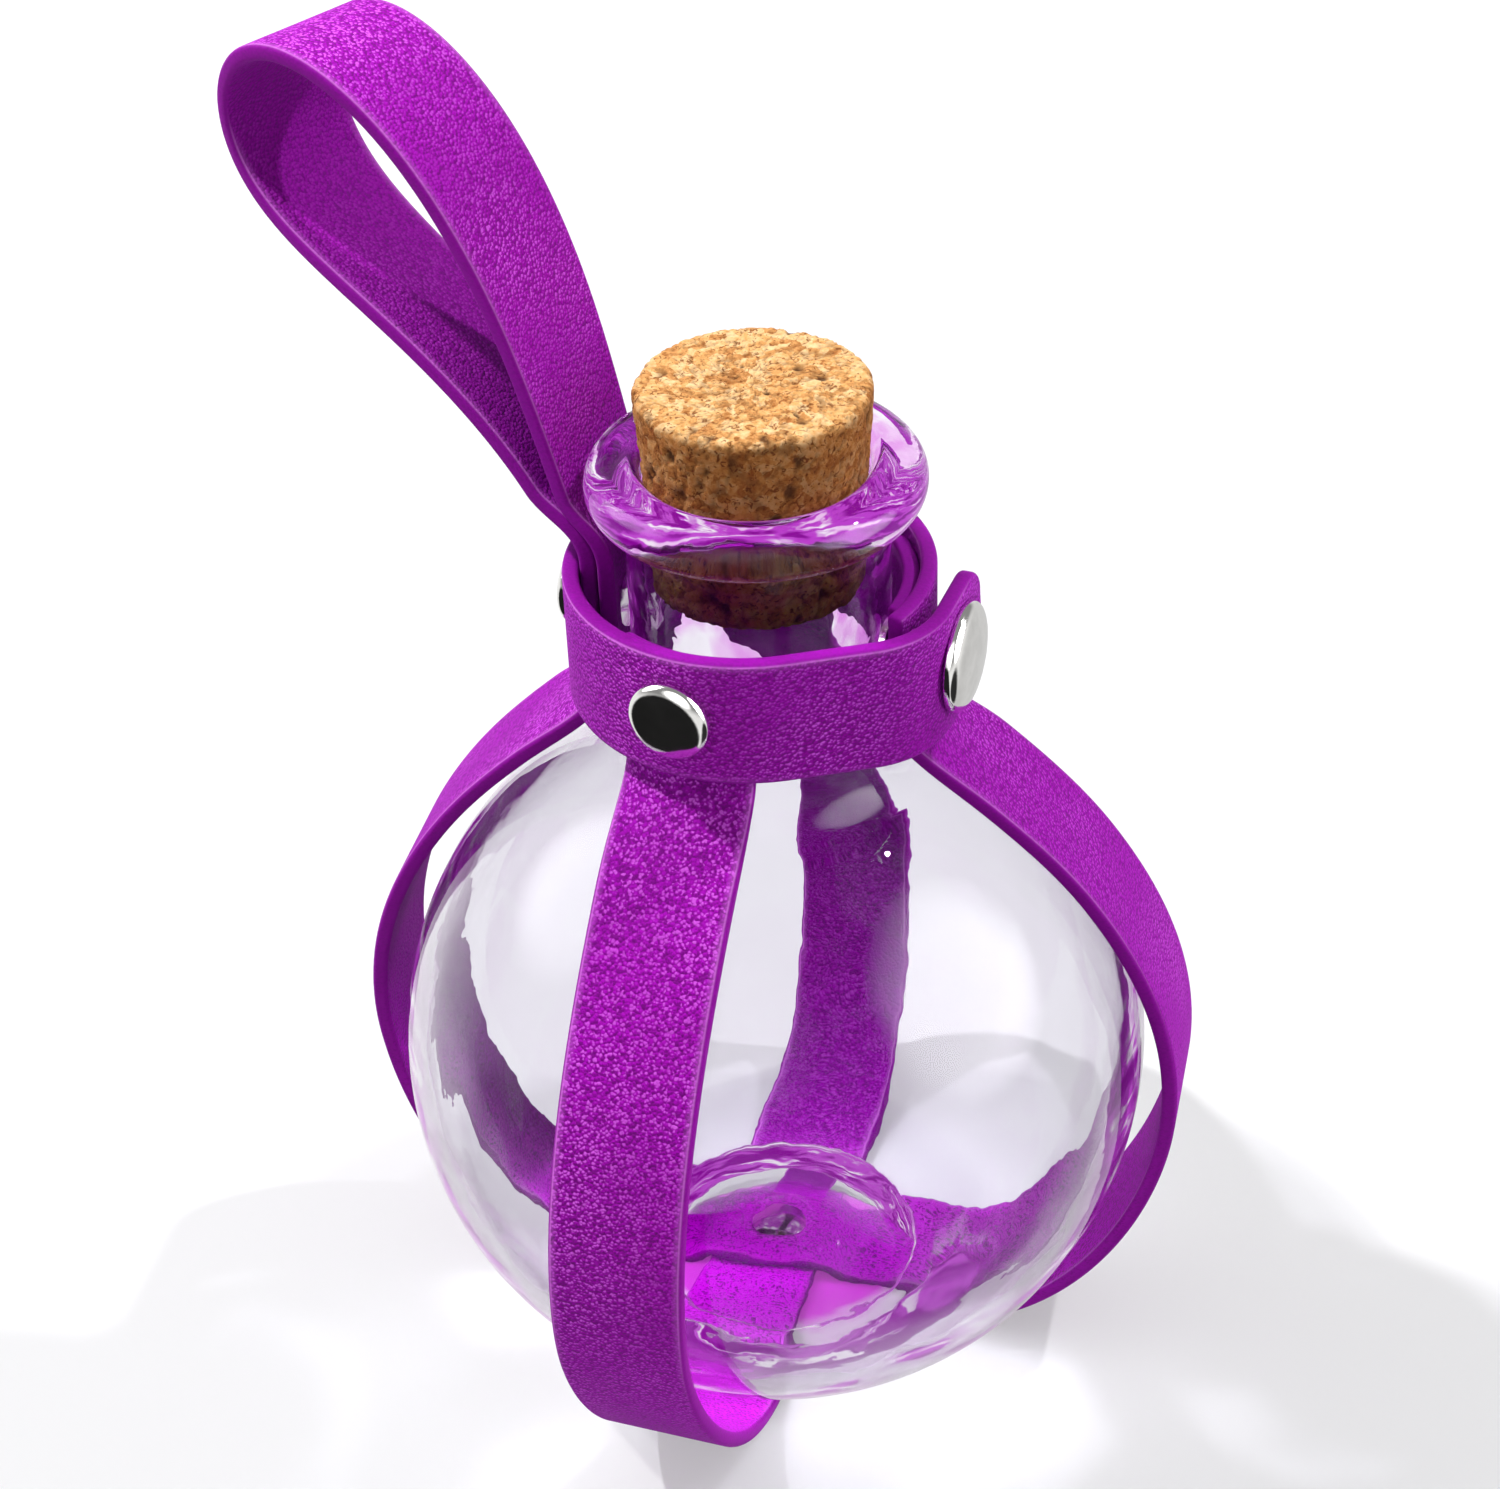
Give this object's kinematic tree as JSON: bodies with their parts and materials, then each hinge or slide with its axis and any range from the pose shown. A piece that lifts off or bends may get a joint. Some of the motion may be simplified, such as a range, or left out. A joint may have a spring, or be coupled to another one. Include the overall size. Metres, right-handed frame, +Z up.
{
  "type": "potion bottle",
  "caption": "Round glass bottle with a cork, in a purple leather strap harness with a snap collar and a hanging loop.",
  "frame": {"origin": "on the bottle's axis, at the underside of the crossed straps that the bottle rests on", "axes": "+Z up along the bottle's axis, +X towards the snap side, -Y towards the front strap, the loop leans towards -X and +Y"},
  "size_m": [0.1034, 0.0951, 0.1577],
  "materials": {
    "glass": "clear, polished, very faint grey lilac tint",
    "cork": "agglomerated cork, tan with dark specks",
    "leather": "purple, fine pebbled grain, satin, painted smooth edges",
    "nickel": "polished nickel"
  },
  "bodies": {
    "harnessed_bottle": {"bottle": "glass", "collar": "leather", "front_back_strap": "leather", "side_strap": "leather", "front_rivet_cap": "nickel", "front_rivet_post": "nickel", "back_rivet_cap": "nickel", "back_rivet_post": "nickel", "loop_rivet_cap": "nickel", "loop_rivet_post": "nickel", "base_rivet_cap": "nickel", "base_rivet_post": "nickel", "snap_cap": "nickel", "snap_socket": "nickel", "snap_stud": "nickel", "snap_stud_post": "nickel"},
    "stopper": {"cork": "cork"}
  },
  "joints": [
    {"name": "cork_pull", "type": "slide", "parent": "harnessed_bottle", "child": "stopper", "axis": [0, 0, 1], "range_m": [0, 0.03]}
  ]
}
